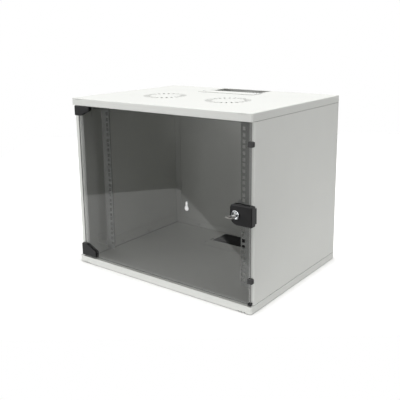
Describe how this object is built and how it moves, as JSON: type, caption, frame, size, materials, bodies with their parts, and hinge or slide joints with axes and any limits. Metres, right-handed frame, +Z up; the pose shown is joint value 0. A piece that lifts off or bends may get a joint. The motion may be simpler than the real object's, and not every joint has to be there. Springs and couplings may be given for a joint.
{
  "type": "wall mount network cabinet",
  "caption": "Grey sheet-steel wall cabinet for 19-inch network equipment with a smoked frameless glass door, clip hinges, key lock and cable entries.",
  "frame": {"origin": "centre of the footprint on the floor plane", "axes": "+X to the right seen from the door side, -Y out of the door, +Y into the wall, +Z up"},
  "size_m": [0.6045, 0.4865, 0.4885],
  "materials": {
    "grey_paint": "fine-textured light grey powder coat",
    "rail_paint": "light grey powder coat",
    "smoked_glass": "tempered smoked glass, ground edges",
    "black_plastic": "satin moulded",
    "black_rubber": "matt",
    "chrome": "bright plated",
    "nickel": "nickel-plated brass",
    "zinc_steel": "zinc plated"
  },
  "bodies": {
    "cabinet": {"top_panel": "grey_paint", "bottom_panel": "grey_paint", "side_panel_left": "grey_paint", "side_panel_right": "grey_paint", "back_panel": "grey_paint", "rack_rail_left": "rail_paint", "rack_rail_right": "rail_paint", "rail_feet": "rail_paint", "panel_screws": "zinc_steel", "back_panel_screws": "zinc_steel", "rail_screws": "zinc_steel", "rail_nuts": "zinc_steel"},
    "door": {"door_glass": "smoked_glass", "hinge_upper": "black_plastic", "hinge_lower": "black_plastic", "hinge_pins": "zinc_steel", "lock_housing": "black_plastic", "lock_barrel": "chrome", "edge_buffers": "black_rubber", "corner_cap": "black_plastic"},
    "lock": {"lock_rotor": "chrome", "lock_cam": "zinc_steel", "cam_screw": "zinc_steel"},
    "key": {"lock_key": "nickel"},
    "cover_top": {"cable_cover_top": "grey_paint", "cover_screws_top": "zinc_steel", "cover_nuts_top": "zinc_steel"},
    "cover_bottom": {"cable_cover_bottom": "grey_paint", "cover_screws_bottom": "zinc_steel"}
  },
  "joints": [
    {"name": "door_hinge", "type": "hinge", "parent": "cabinet", "child": "door", "pos_m": [-0.2839, -0.2214, 0.2425], "axis": [0, 0, -1], "range_deg": [0, 115]},
    {"name": "lock_turn", "type": "hinge", "parent": "door", "child": "lock", "pos_m": [0.259, -0.225, 0.245], "axis": [0, 1, 0], "range_deg": [0, 90]},
    {"name": "key_withdraw", "type": "slide", "parent": "lock", "child": "key", "axis": [0, -1, 0], "range_m": [0, 0.022]},
    {"name": "cover_top_slide", "type": "slide", "parent": "cabinet", "child": "cover_top", "axis": [0, 1, 0], "range_m": [0, 0.044]},
    {"name": "cover_bottom_slide", "type": "slide", "parent": "cabinet", "child": "cover_bottom", "axis": [0, 1, 0], "range_m": [0, 0.044]}
  ]
}
